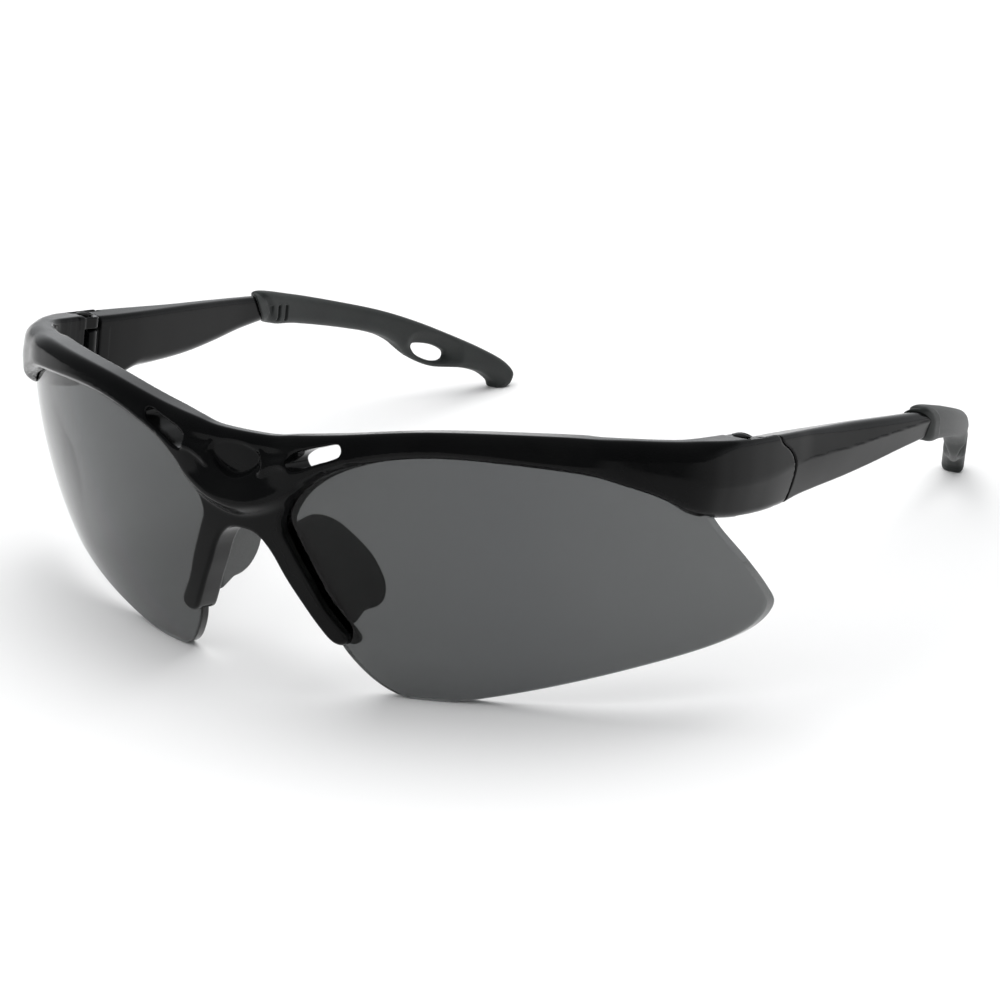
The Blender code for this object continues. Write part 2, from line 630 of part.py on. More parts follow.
def reach(objects, tilt, axis):
    """The lowest and highest coordinate of the objects along one axis, once tilted."""
    places = []
    for obj in objects:
        place = tilt @ obj.matrix_world
        places.extend((place @ vertex.co)[axis] for vertex in obj.data.vertices)
    return min(places), max(places)


def rest_slope(lens):
    """The slope of the plane through the foot of the tips that trims the lowest edge of the lens."""
    slopes = []
    for vertex in lens.data.vertices:
        rise = vertex.co.z + LENS_TRIM - TIP_FOOT.z
        slopes.append(math.atan2(-rise, TIP_FOOT.y - vertex.co.y))
    return max(slopes)


def trimmed(obj, slope):
    """Cut a solid off flat at the plane that it rests on."""
    down = (0.0, math.sin(slope), -math.cos(slope))
    bm = bmesh.new()
    bm.from_mesh(obj.data)
    geometry = bm.verts[:] + bm.edges[:] + bm.faces[:]
    cut = bmesh.ops.bisect_plane(bm, geom=geometry, plane_co=TIP_FOOT, plane_no=down, clear_outer=True)
    rim = [item for item in cut["geom_cut"] if isinstance(item, bmesh.types.BMEdge)]
    bmesh.ops.contextual_create(bm, geom=rim)
    bm.to_mesh(obj.data)
    bm.free()
    return obj


def build():
    root = bpy.data.objects.new("wearing_frame", None)
    PARTS.objects.link(root)
    front = make_front()
    front.parent = root
    sides = {"left": 1.0, "right": -1.0}
    lens = lens_solid("lens")
    slope = rest_slope(lens)
    made = {
        "lens": (trimmed(lens, slope), "smoke_lens", False),
        "nose_pad": (make_pad(), "matt_rubber", False),
        "hinge_screw": (make_screw(), "screw_steel", False),
        "temple": (make_temple(), "gloss_black", True),
        "temple_tip": (trimmed(make_tip(), slope), "matt_rubber", True),
    }
    pieces = {}
    for side, sign in sides.items():
        hinge = bpy.data.objects.new("hinge_axis_" + side, None)
        hinge.location = (sign * HINGE_X, HINGE_Y, 0.0)
        PARTS.objects.link(hinge)
        hinge.parent = root
        for kind, (solid, finish, moves) in made.items():
            obj = mirrored(solid, kind) if side == "right" else solid.copy()
            if side == "left":
                obj.data = solid.data.copy()
                CUTTERS.objects.link(obj)
            pieces[kind + "_" + side] = finish_part(obj, kind + "_" + side, finish, hinge if moves else None)
            if not moves:
                obj.parent = root
    for solid, _, _ in made.values():
        bpy.data.objects.remove(solid, do_unlink=True)
    bpy.context.view_layer.update()
    lenses = [pieces["lens_left"], pieces["lens_right"]]
    tips = [pieces["temple_tip_left"], pieces["temple_tip_right"]]
    tilt = Matrix.Rotation(-slope, 4, "X")
    front_y, back_y = reach([front] + tips, tilt, 1)
    root.rotation_euler = (-slope, 0.0, 0.0)
    root.location = (0.0, -(front_y + back_y) / 2, -reach(lenses + tips, tilt, 2)[0])
    bpy.context.view_layer.update()


clear_scene()
PARTS = new_collection("safety_glasses")
CUTTERS = new_collection("cutters")
build()
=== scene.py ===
"""The looks of half-frame wrap-around safety glasses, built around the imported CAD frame.

Each shape is a distance field in the wearing frame (millimetres: +X to the wearer's left, +Y back towards
the ears, +Z up, hinge axes vertical), turned into a fine mesh and then tilted as the glasses rest.
The left half is modelled, and the right half is its mirror image.
"""

import json
import math

import bpy
import numpy as np
from mathutils import Matrix, Vector


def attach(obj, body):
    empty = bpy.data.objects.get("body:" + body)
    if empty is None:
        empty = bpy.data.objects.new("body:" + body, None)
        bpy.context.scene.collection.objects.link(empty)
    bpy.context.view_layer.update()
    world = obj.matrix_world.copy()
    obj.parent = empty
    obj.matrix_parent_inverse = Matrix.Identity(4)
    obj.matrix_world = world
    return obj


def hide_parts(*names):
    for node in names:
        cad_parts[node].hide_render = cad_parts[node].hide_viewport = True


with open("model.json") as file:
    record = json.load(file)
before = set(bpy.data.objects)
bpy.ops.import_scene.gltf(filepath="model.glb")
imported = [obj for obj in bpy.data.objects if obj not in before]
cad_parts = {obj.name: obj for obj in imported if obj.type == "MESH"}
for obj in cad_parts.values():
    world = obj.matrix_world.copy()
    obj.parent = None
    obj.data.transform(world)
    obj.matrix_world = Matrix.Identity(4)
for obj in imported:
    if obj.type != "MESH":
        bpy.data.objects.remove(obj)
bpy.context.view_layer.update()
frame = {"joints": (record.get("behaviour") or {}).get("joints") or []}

MM = 0.001
COARSE = 1.0

# Lens and front: shells on spheres. The lens sits in a groove of the front with a small gap.
LENS_CENTRE = np.array((0.0, 49.9, 3.2))
LENS_RADIUS = 90.7
LENS_THICKNESS = 2.0
LENS_MIDDLE = (35.0, -24.0)
LENS_RIM = 0.45
FRONT_CENTRE = np.array((0.0, 49.9, 5.2))
FRONT_RADIUS = 93.3
BACK_RADIUS = 87.5
GROOVE_GAP = 0.04
LENS_POINT_SPACING = 0.55
LENS_RING_SHARES = np.linspace(0.04, 1.0, 26)
LENS_RIM_ANGLES = np.radians((22.5, 45.0, 67.5, 90.0))

# Hinges and temples.
HINGE_X = 65.5
HINGE_Y = 1.2
KNUCKLE_RADIUS = 2.5
KNUCKLE_TOP = -3.3
KNUCKLE_BOTTOM = -9.0
KNUCKLE_PLAY = 0.1
TANG_WIDTHS = (0.8, 2.1)
TANG_END = 7.0
LUG_TOP = -0.7
LUG_BOTTOM = -11.6
LUG_GAP = 0.3
LUG_REACH = 1.5
LUG_INSET = 0.35
WALL_INSIDE = 68.3
WALL_GAP = 0.25
HINGE_WALL = 0.85
POCKET_START = -1.6
BORE_RADIUS = 1.0
JOINT_LINE = 0.18
ARM_START = 4.6
ARM_END = 64.5
ARM_END_SLANT = 0.5

# Rubber tips: a collar with a lip, grooves on the inner side, and a thinner web round the cord slot.
COLLAR_Y = 59.2
COLLAR_SLANT = 0.6
COLLAR_PLAN = 0.9
LIP_PROUD = 0.5
LIP_LENGTH = 3.0
TIP_HALF_THICKNESS = 2.2
CORD_WEB = 1.1
GROOVE_PLACES = (63.3, 65.5, 67.7)
GROOVE_HALF_WIDTH = 0.35
GROOVE_DEPTH = 0.5
GROOVE_MIDDLE = -4.4
GROOVE_HALF_LENGTH = 1.5

# Hinge screw: shank, and a low domed head with a slot.
SHANK_RADIUS = 0.72
SHANK_SHORT = 0.4
HEAD_RADIUS = 1.8
HEAD_DOME = 3.5
HEAD_DROP = 3.0
HEAD_GAP = 0.02
HEAD_SLOT_HALF_WIDTH = 0.22
HEAD_SLOT_FLOOR = 0.2

# Nose pads lie on a plane that splays outwards towards the back.
PAD_SPLAY = math.radians(9.5)
PAD_TOP = np.array((7.3, -32.6, -23.5))
PAD_BOTTOM = np.array((12.9, -27.6, -36.6))
PAD_HALF_THICKNESS = 1.3
PAD_SLENDER = 0.93
PAD_GAP = 0.12

# Outlines in millimetres: (x, z) of the left half seen from the front.
FRONT_OUTLINE = [(-9.0, -6.1), (-4.5, -6.8), (4.5, -6.8), (9.5, -6.1), (16.0, -5.1), (31.0, -2.5),
                 (47.0, -1.1), (58.0, -0.8), (66.0, -0.6), (70.0, -4.0), (67.0, -8.8), (61.0, -8.2),
                 (55.0, -6.7), (45.0, -6.0), (34.0, -6.2),
                 (25.0, -7.8), (17.1, -10.7), (11.8, -14.2), (8.9, -17.6), (7.6, -21.0), (8.8, -24.3),
                 (11.0, -29.0), (13.1, -33.6), (15.9, -37.9), (15.9, -39.4), (14.7, -40.2), (13.1, -39.6),
                 (11.3, -37.0), (9.3, -33.5), (7.3, -30.0), (5.5, -26.4), (3.8, -24.1), (1.7, -22.9),
                 (-1.7, -22.9), (-3.8, -24.1), (-9.0, -25.0)]
LENS_OUTLINE = [(41.7, -4.5), (52.0, -4.9), (60.0, -6.4), (64.6, -9.6), (67.3, -14.6), (69.7, -19.3),
                (71.4, -24.0), (71.7, -27.4), (69.2, -31.4), (64.0, -35.0), (54.0, -39.6), (43.1, -43.9),
                (33.0, -47.3), (27.6, -48.6), (24.3, -48.9), (20.9, -48.3), (17.6, -46.1), (14.5, -42.0),
                (12.7, -37.6), (10.2, -32.0), (7.9, -27.6), (6.7, -23.4), (6.9, -18.6), (9.6, -14.4),
                (14.0, -11.6), (21.7, -7.5), (31.0, -4.9)]
SLOT_OUTLINE = [(9.8, -9.9), (11.2, -8.5), (13.2, -7.7), (15.5, -6.9), (17.8, -6.2), (18.6, -6.7),
                (18.5, -7.9), (17.0, -8.8), (15.1, -9.6), (13.4, -10.4), (11.8, -11.2), (10.4, -11.3)]
BEAK_OUTLINE = [(-12.0, -5.5), (0.0, -5.0), (12.0, -5.5), (17.5, -9.0), (15.5, -12.5), (12.5, -15.3),
                (8.8, -18.0), (4.6, -20.0), (0.0, -20.9), (-4.6, -20.0), (-8.8, -18.0), (-12.5, -15.3)]
PANEL_OUTLINE = [(-4.8, -10.0), (-2.6, -8.9), (0.0, -8.5), (2.6, -8.9), (4.8, -10.0), (4.4, -11.6),
                 (2.8, -13.2), (0.0, -14.1), (-2.8, -13.2), (-4.4, -11.6)]
RIDGE_OUTLINE = [(4.6, -9.3), (6.0, -10.2), (8.0, -10.1), (10.2, -9.5), (10.8, -10.3), (10.4, -11.1),
                 (8.4, -11.4), (6.6, -12.2), (5.0, -13.0), (5.2, -11.4)]

# Relief in the middle of the front: how far the beak, panel and ridges stand out or in, the beak's z, how
# far inside their outlines the walls of each start and end, and how often the result is blurred.
PEAK = 2.6
BEAK_TOP = -9.5
BEAK_BOTTOM = -18.0
BEAK_EDGE = 2.4
BEAK_SOFTENING = 8
PANEL_SUNK = 0.25
PANEL_WALL = (-0.15, 0.35)
RIDGE_PROUD = 0.45
RIDGE_WALL = (-0.4, 0.45)
RELIEF_SOFTENING = 2

# (y, z) outlines seen from the side.
WALL_EDGE = [(7.7, 1.0), (8.7, -1.8), (11.7, -3.4), (13.8, -6.2), (14.4, -9.2), (13.5, -13.5)]
TIP_OUTLINE = [(61.4, -0.3), (72.0, -1.2), (84.0, -2.9), (95.0, -4.8), (104.7, -7.3), (114.6, -10.6),
               (121.5, -13.2), (126.6, -15.6), (129.2, -18.0), (128.9, -20.2), (127.9, -21.3),
               (125.9, -21.7), (125.0, -20.2), (121.6, -18.2), (116.0, -17.1), (109.5, -16.8),
               (103.6, -14.7), (99.3, -11.6), (94.0, -9.6), (84.0, -8.1), (72.0, -6.9), (64.8, -6.5),
               (62.6, -3.3)]
CORD_SLOT = [(103.6, -12.4), (104.8, -11.8), (109.0, -12.2), (112.2, -13.5), (112.7, -14.8),
             (111.4, -15.6), (108.6, -15.5), (105.2, -14.2)]
PAD_OUTLINE = [(-33.7, -21.7), (-31.2, -21.0), (-28.0, -20.4), (-24.8, -21.2), (-21.5, -23.6),
               (-18.4, -26.8), (-16.8, -30.0), (-16.6, -32.2), (-17.6, -34.2), (-19.6, -35.2),
               (-22.4, -35.5), (-24.0, -36.4), (-25.6, -37.0), (-28.0, -35.0), (-32.0, -30.0),
               (-35.0, -25.0)]

# Endpiece stations: outer face x, y, top z, bottom z, thickness.
ENDPIECE = [(44.0, -33.2, -1.5, -6.0, 5.2), (53.0, -27.2, -1.0, -6.4, 5.2), (59.0, -22.0, -0.8, -7.9, 5.2),
            (63.0, -18.2, -0.7, -9.4, 5.2), (65.8, -14.8, -0.6, -11.1, 5.3), (67.5, -11.3, -0.5, -12.2, 5.6),
            (68.5, -7.0, -0.5, -12.8, 6.0), (69.2, -2.0, -0.5, -13.1, 6.3), (69.6, 4.0, -0.5, -13.1, 6.5),
            (69.8, 17.0, -0.5, -12.7, 6.5)]
# Radius of its top edge in front and behind, the y between which that changes, and its lower edge's radius.
END_TOP_ROUNDS = (2.8, 1.1)
END_ROUND_CHANGE = (-14.0, -4.0)
END_BOTTOM_ROUND = 1.4

# Temple stations: y, outer face x, top z, bottom z, thickness. Its underside and top slope across it.
TEMPLE = [(4.0, 69.6, -0.5, -13.1, 5.2), (9.0, 69.7, -0.5, -13.1, 5.2), (16.0, 69.9, -0.5, -13.0, 5.0),
          (26.0, 70.5, -0.5, -12.6, 4.7), (36.0, 71.1, -0.5, -11.7, 4.3), (46.0, 71.7, -0.6, -10.1, 3.9),
          (54.0, 72.1, -0.7, -8.5, 3.6), (64.0, 72.4, -0.8, -6.9, 3.5)]
UNDERSIDE_RISE = 0.5
UNDERSIDE_START = (8.0, 20.0)
TOP_FALL = 0.16
# Radius of its top edge in front, how much larger it is behind, and the y between which it grows.
ARM_TOP_ROUND = 1.1
ARM_TOP_ROUND_MORE = 0.5
ARM_ROUND_CHANGE = (18.0, 34.0)
# Middle of the rubber tip in plan: (y, x).
BOW = [(50.0, 70.6), (60.0, 70.4), (75.0, 68.9), (90.0, 65.6), (105.0, 60.7), (118.0, 55.8), (130.0, 51.2)]
# The crease along the outer face, and how much the face leans in above and below it, all against y.
CREASE = [(-30.0, -5.2), (-20.5, -6.0), (-13.0, -6.9), (-3.0, -7.3), (7.0, -6.7), (14.5, -5.6),
          (35.0, -4.4), (49.0, -3.3), (62.0, -2.5)]
UPPER_LEAN = [(-28.0, 0.0), (-12.0, 0.08), (12.0, 0.08), (28.0, 0.17), (64.0, 0.19)]
LOWER_LEAN = [(-28.0, 0.0), (-12.0, 0.18), (12.0, 0.20), (28.0, 0.36), (64.0, 0.36)]
CREASE_ROUND = 0.15
LEDGE = 0.14
LEDGE_START = (14.0, 20.0)
LEDGE_HALF_WIDTH = 0.12

# The brow's face slopes forward from the top edge down to one depth and is back on the sphere at a second.
# The slope comes in between two distances from the middle.
BROW_FORWARD = 0.22
BROW_DEPTHS = (4.2, 9.0)
BROW_SLOPE_START = (4.0, 11.0)
# The brow against x: its top edge, and the line below which it is chamfered and above which it is rounder.
BROW_TOP = [(0.0, -6.9), (4.5, -6.8), (9.5, -6.1), (16.0, -5.1), (31.0, -2.5), (47.0, -1.1), (58.0, -0.8)]
BROW_MIDDLE = [(8.0, -12.5), (15.0, -9.0), (22.0, -7.0), (31.0, -5.2), (45.0, -4.2), (60.0, -5.0)]
BROW_CHANGE = 1.2
# Radii of the edges round its face and its back, how much larger they are above that line, and the x
# between which the back loses this.
FACE_ROUND = 0.6
FACE_ROUND_MORE = 1.3
BACK_ROUND = 0.5
BACK_ROUND_MORE = 2.0
BACK_ROUND_CHANGE = (5.0, 16.0)
# The chamfer's slope against the face, how deep it cuts, what brings it back to a distance, and the depths
# between which it ends on the nose legs.
CHAMFER_SLOPE = 0.8
CHAMFER_DEPTH = 0.9
CHAMFER_LENGTH = 1.28
LEG_DEPTHS = (13.0, 18.0)
# The x between which the brow becomes the endpiece.
ENDPIECE_BLEND = (50.0, 58.0)

# How far to each side of a point a field's slope is measured, to move the point and for its normal, and
# the smallest squared slope that a move is worked out from.
SLOPE_REACH = 0.05
NORMAL_REACH = 0.12
SMALLEST_SLOPE = 0.25

left_hinge = next(joint for joint in frame["joints"] if joint["name"] == "left_hinge")
hinge_axis = np.array(left_hinge["axis"]) / np.linalg.norm(left_hinge["axis"])
TILT = np.array(((1.0, 0.0, 0.0), (0.0, hinge_axis[2], hinge_axis[1]), (0.0, -hinge_axis[1], hinge_axis[2])))
LIFT = np.array(left_hinge["pos_m"]) / MM - TILT @ np.array((HINGE_X, HINGE_Y, 0.0))


# ---- distance fields -------------------------------------------------------------------------------------

def round_max(a, b, radius):
    """What is inside both, with the convex edge between them rounded."""
    corner = np.hypot(np.maximum(a + radius, 0.0), np.maximum(b + radius, 0.0))
    return np.minimum(np.maximum(a, b), -radius) + corner


def round_min(a, b, radius):
    """What is inside either, with a fillet in the concave edge between them."""
    corner = np.hypot(np.maximum(radius - a, 0.0), np.maximum(radius - b, 0.0))
    return np.maximum(np.minimum(a, b), radius) - corner


def step(value, start, end):
    t = np.clip((value - start) / (end - start), 0.0, 1.0)
    return t * t * (3.0 - 2.0 * t)


def distance(x, y, z, centre):
    return np.sqrt((x - centre[0]) ** 2 + (y - centre[1]) ** 2 + (z - centre[2]) ** 2)


def along(stations, place):
    """Smooth value at a place along stations of (place, value)."""
    places = np.array([station[0] for station in stations], float)
    values = np.array([station[1] for station in stations], float)
    slopes = np.gradient(values, places)
    place = np.clip(np.asarray(place, float), places[0], places[-1])
    i = np.clip(np.searchsorted(places, place, side="right") - 1, 0, len(places) - 2)
    span = places[i + 1] - places[i]
    t = (place - places[i]) / span
    start = (2 * t ** 3 - 3 * t ** 2 + 1) * values[i] + (t ** 3 - 2 * t ** 2 + t) * span * slopes[i]
    return start + (3 * t ** 2 - 2 * t ** 3) * values[i + 1] + (t ** 3 - t ** 2) * span * slopes[i + 1]


def closed_path(points, spacing=0.4):
    """Points on a smooth closed curve through an outline's points."""
    points = np.array(points, float)
    count = len(points)
    path = []
    for i in range(count):
        before, start, end, after = (points[(i + k) % count] for k in (-1, 0, 1, 2))
        steps = max(2, int(np.ceil(np.linalg.norm(end - start) / spacing)))
        for t in np.arange(steps) / steps:
            point = start * (2 * t ** 3 - 3 * t ** 2 + 1) + (end - before) / 2 * (t ** 3 - 2 * t ** 2 + t)
            path.append(point + end * (3 * t ** 2 - 2 * t ** 3) + (after - start) / 2 * (t ** 3 - t ** 2))
    return np.array(path)


class Lookup:
    """Values on a fine flat grid, read between its points."""

    def __init__(self, low, pitch, values):
        self.low, self.pitch, self.values = low, pitch, values

    def __call__(self, u, v):
        rows, columns = self.values.shape[:2]
        a = np.clip((u - self.low[0]) / self.pitch, 0.0, rows - 1.001)
        b = np.clip((v - self.low[1]) / self.pitch, 0.0, columns - 1.001)
        a, b = np.broadcast_arrays(a, b)
        i, j = a.astype(int), b.astype(int)
        s, t = a - i, b - j
        low = self.values[i, j] * (1 - s) + self.values[i + 1, j] * s
        return low * (1 - t) + (self.values[i, j + 1] * (1 - s) + self.values[i + 1, j + 1] * s) * t


def outline_lookup(points, margin=6.0, pitch=0.15):
    """Signed distance to a smooth closed outline, negative inside."""
    path = closed_path(points)
    low, high = path.min(0) - margin, path.max(0) + margin
    u, v = np.meshgrid(*(np.arange(a, b + pitch, pitch) for a, b in zip(low, high)), indexing="ij")
    best = np.full(u.shape, 1e9)
    inside = np.zeros(u.shape, bool)
    for (px, py), (qx, qy) in zip(path, np.roll(path, -1, axis=0)):
        dx, dy = qx - px, qy - py
        t = np.clip(((u - px) * dx + (v - py) * dy) / (dx * dx + dy * dy), 0.0, 1.0)
        best = np.minimum(best, (u - px - t * dx) ** 2 + (v - py - t * dy) ** 2)
        if dy:
            inside ^= ((py > v) != (qy > v)) & (u < px + (v - py) * dx / dy)
    return Lookup(low, pitch, np.where(inside, -1.0, 1.0) * np.sqrt(best))


def endpiece_lookups(pitch=0.2):
    """Distance outside the endpiece's outer face in plan, and its top, bottom and thickness there."""
    stations = np.array(ENDPIECE)
    places = np.concatenate(((0.0,), np.cumsum(np.linalg.norm(np.diff(stations[:, :2], axis=0), axis=1))))
    fine = np.linspace(0.0, places[-1], 240)
    columns = np.stack([along(list(zip(places, stations[:, k])), fine) for k in range(5)], axis=1)
    tangent = np.gradient(columns[:, :2], axis=0)
    tangent /= np.linalg.norm(tangent, axis=1)[:, None]
    low, high = np.array((40.0, -42.0)), np.array((76.0, 22.0))
    u, v = np.meshgrid(*(np.arange(a, b + pitch, pitch) for a, b in zip(low, high)), indexing="ij")
    best = np.full(u.shape, 1e9)
    found = np.zeros((*u.shape, 4))
    for row, (tx, ty) in zip(columns, tangent):
        gap = (u - row[0]) ** 2 + (v - row[1]) ** 2
        nearer = gap < best
        best = np.where(nearer, gap, best)
        outside = (u - row[0]) * ty - (v - row[1]) * tx
        heights = (np.full(nearer.sum(), row[k]) for k in (2, 3, 4))
        found[nearer] = np.stack((outside[nearer], *heights), axis=1)
    return [Lookup(low, pitch, found[:, :, k]) for k in range(4)]


FRONT = outline_lookup(FRONT_OUTLINE)
LENS = outline_lookup(LENS_OUTLINE)
SLOT = outline_lookup(SLOT_OUTLINE)
BEAK = outline_lookup(BEAK_OUTLINE)
PANEL = outline_lookup(PANEL_OUTLINE)
RIDGE = outline_lookup(RIDGE_OUTLINE)
TIP = outline_lookup(TIP_OUTLINE)
CORD = outline_lookup(CORD_SLOT)
PAD = outline_lookup(PAD_OUTLINE)
OUTER_FACE, END_TOP, END_BOTTOM, END_THICKNESS = endpiece_lookups()


def floor_field(y, z):
    """How far a point is below the surface that the glasses rest on."""
    return -(LIFT[2] + TILT[2, 1] * y + TILT[2, 2] * z)


def wall_edge_field(y, z, moved=0.0):
    """Behind the curved rear edge of the endpiece, moved back a little."""
    edge = along([(-z0, y0) for y0, z0 in WALL_EDGE], -z)
    lean = (along([(-z0, y0) for y0, z0 in WALL_EDGE], -z + 0.1) - edge) / 0.1
    return (y - edge - moved) / np.sqrt(1.0 + lean ** 2)


def faceted(outside, y, z):
    """An upright outer face with a crease along it. It leans in above and below the crease, and on the
    arm the part above is set in a little."""
    crease, upper, lower = (along(stations, y) for stations in (CREASE, UPPER_LEAN, LOWER_LEAN))
    above = (outside + upper * (z - crease)) / np.sqrt(1.0 + upper ** 2)
    below = (outside + lower * (crease - z)) / np.sqrt(1.0 + lower ** 2)
    ledge = LEDGE * step(y, *LEDGE_START) * step(z - crease, -LEDGE_HALF_WIDTH, LEDGE_HALF_WIDTH)
    return round_max(above, below, CREASE_ROUND) + ledge


def softened(values, times):
    """Values on a flat grid, blurred a little in both directions."""
    for _ in range(times):
        for axis in (0, 1):
            values = (np.roll(values, 1, axis) + 2 * values + np.roll(values, -1, axis)) / 4
    return values


def beak_lookup(pitch=0.15):
    """How far the middle of the brow stands forward of the front's sphere: a beak that deepens downwards,
    with a sunken panel in it and a ridge from the panel to each slot."""
    low, high = np.array((-1.0, -24.0)), np.array((16.0, -4.0))
    u, v = np.meshgrid(*(np.arange(a, b + pitch, pitch) for a, b in zip(low, high)), indexing="ij")
    side = np.abs(u)
    within = -BEAK(side, v)
    beak = PEAK * np.clip((BEAK_TOP - v) / (BEAK_TOP - BEAK_BOTTOM), 0.0, 1.0)
    beak = beak * step(within, 0.0, BEAK_EDGE)
    beak = softened(beak, BEAK_SOFTENING)
    sunken = step(-PANEL(side, v), *PANEL_WALL)
    ridge = RIDGE_PROUD * step(-RIDGE(side, v), *RIDGE_WALL)
    return Lookup(low, pitch, beak + softened(ridge - sunken * (PANEL_SUNK + beak), RELIEF_SOFTENING))


BEAK_HEIGHT = beak_lookup()


def lens_field(x, y, z):
    away = distance(x, y, z, LENS_CENTRE)
    shell = np.maximum(away - LENS_RADIUS, LENS_RADIUS - LENS_THICKNESS - away)
    return np.maximum(LENS(x, z), shell)


def lug_field(x, y, z, bottom, top):
    """A hinge lug: a round boss joined to the endpiece in front of it and to the wall beside it."""
    boss = np.hypot(x - HINGE_X, y - HINGE_Y) - KNUCKLE_RADIUS
    front = POCKET_START - LUG_REACH
    ahead = np.maximum(HINGE_X - KNUCKLE_RADIUS - x, np.maximum(front - y, y - HINGE_Y))
    beside = np.maximum(HINGE_X - x, np.maximum(front - y, y - HINGE_Y - KNUCKLE_RADIUS))
    plan = np.minimum(np.minimum(boss, ahead), beside)
    return round_max(plan, np.maximum(bottom - z, z - top), 0.25)


def endpiece_shell(x, y, z):
    """The endpiece's outer face, top and underside, as if it were solid inside."""
    face = faceted(OUTER_FACE(x, y), y, z)
    ahead, behind = END_TOP_ROUNDS
    shell = round_max(face, z - END_TOP(x, y), ahead - (ahead - behind) * step(y, *END_ROUND_CHANGE))
    return round_max(shell, END_BOTTOM(x, y) - z, END_BOTTOM_ROUND)


def endpiece_field(x, y, z):
    """The endpiece, hollowed behind the hinge so that only its outer wall runs on over the arm."""
    body = round_max(endpiece_shell(x, y, z), -OUTER_FACE(x, y) - END_THICKNESS(x, y), 0.9)
    wall = faceted(OUTER_FACE(x, y), y, z) + HINGE_WALL
    pocket = np.maximum(np.maximum(x - WALL_INSIDE, wall), POCKET_START - y)
    lugs = np.minimum(lug_field(x, y, z, KNUCKLE_TOP + LUG_GAP, LUG_TOP),
                      lug_field(x, y, z, LUG_BOTTOM, KNUCKLE_BOTTOM - LUG_GAP))
    lugs = np.maximum(lugs, endpiece_shell(x, y, z) + LUG_INSET)
    body = round_max(round_max(body, -pocket, 0.3), wall_edge_field(y, z), 0.35)
    return round_min(body, lugs, 0.3)


def front_field(x, y, z):
    """The whole front: brow, bridge and nose legs, blended into the endpiece towards each side."""
    side = np.abs(x)
    outline = FRONT(side, z)
    under = along(BROW_TOP, side) - z
    forward = BROW_FORWARD * np.clip(under, 0.0, BROW_DEPTHS[0]) * (1.0 - step(under, *BROW_DEPTHS))
    forward = forward * step(side, *BROW_SLOPE_START)
    face = distance(side, y, z, FRONT_CENTRE) - FRONT_RADIUS - BEAK_HEIGHT(side, z) - forward
    back = BACK_RADIUS - distance(side, y, z, LENS_CENTRE)
    above = z - along(BROW_MIDDLE, side)
    upper = step(above, 0.0, BROW_CHANGE)
    brow = round_max(outline, face, FACE_ROUND + FACE_ROUND_MORE * upper)
    wide = BACK_ROUND_MORE * upper * (1.0 - step(side, *BACK_ROUND_CHANGE))
    brow = round_max(brow, back, BACK_ROUND + wide)
    chamfer = (outline + CHAMFER_SLOPE * face + CHAMFER_DEPTH) / CHAMFER_LENGTH
    legs = step(-z, *LEG_DEPTHS)
    brow = round_max(brow, np.where(above < 0, chamfer, -1.0) * (1.0 - legs) - legs, 0.2)
    share = step(side, *ENDPIECE_BLEND)
    body = brow * (1.0 - share) + endpiece_field(side, y, z) * share
    body = round_max(body, BORE_RADIUS - np.hypot(side - HINGE_X, y - HINGE_Y), 0.15)
    body = round_max(body, -SLOT(side, z), 0.45)
    return np.maximum(body, GROOVE_GAP - lens_field(side, y, z))


def temple_section(x, y, z):
    """Distance outside the arm's creased section, without its ends."""
    outer, top, bottom, thickness = (along([(row[0], row[k]) for row in TEMPLE], y) for k in (1, 2, 3, 4))
    face = faceted(x - outer, y, z)
    inwards = outer - x
    top = top - TOP_FALL * inwards
    bottom = bottom + UNDERSIDE_RISE * inwards * step(y, *UNDERSIDE_START)
    top_round = ARM_TOP_ROUND + ARM_TOP_ROUND_MORE * step(y, *ARM_ROUND_CHANGE)
    section = round_max(round_max(face, z - top, top_round), bottom - z, 1.0)
    return round_max(section, outer - thickness - x, 1.1)


def temple_field(x, y, z):
    """The arm, cut back where the endpiece's wall covers it, and its knuckle on a tang."""
    section = temple_section(x, y, z)
    arm = round_max(section, np.maximum(ARM_START - y, y - ARM_END + ARM_END_SLANT * z), 0.4)
    wall = -HINGE_WALL - faceted(OUTER_FACE(x, y), y, z)
    wall = np.minimum(WALL_INSIDE - x, wall) - WALL_GAP
    ahead = np.maximum(wall_edge_field(y, z, JOINT_LINE), wall)
    arm = round_max(arm, -ahead, 0.3)
    knuckle = np.hypot(x - HINGE_X, y - HINGE_Y) - KNUCKLE_RADIUS + KNUCKLE_PLAY
    inner, outer = TANG_WIDTHS
    tang = np.maximum(HINGE_X - inner - x, x - HINGE_X - outer)
    tang = np.maximum(tang, np.maximum(HINGE_Y - y, y - TANG_END))
    joint = np.minimum(knuckle, tang)
    joint = round_max(joint, np.maximum(KNUCKLE_BOTTOM - z, z - KNUCKLE_TOP), 0.25)
    arm = round_min(arm, joint, 0.5)
    return round_max(arm, BORE_RADIUS - np.hypot(x - HINGE_X, y - HINGE_Y), 0.15)


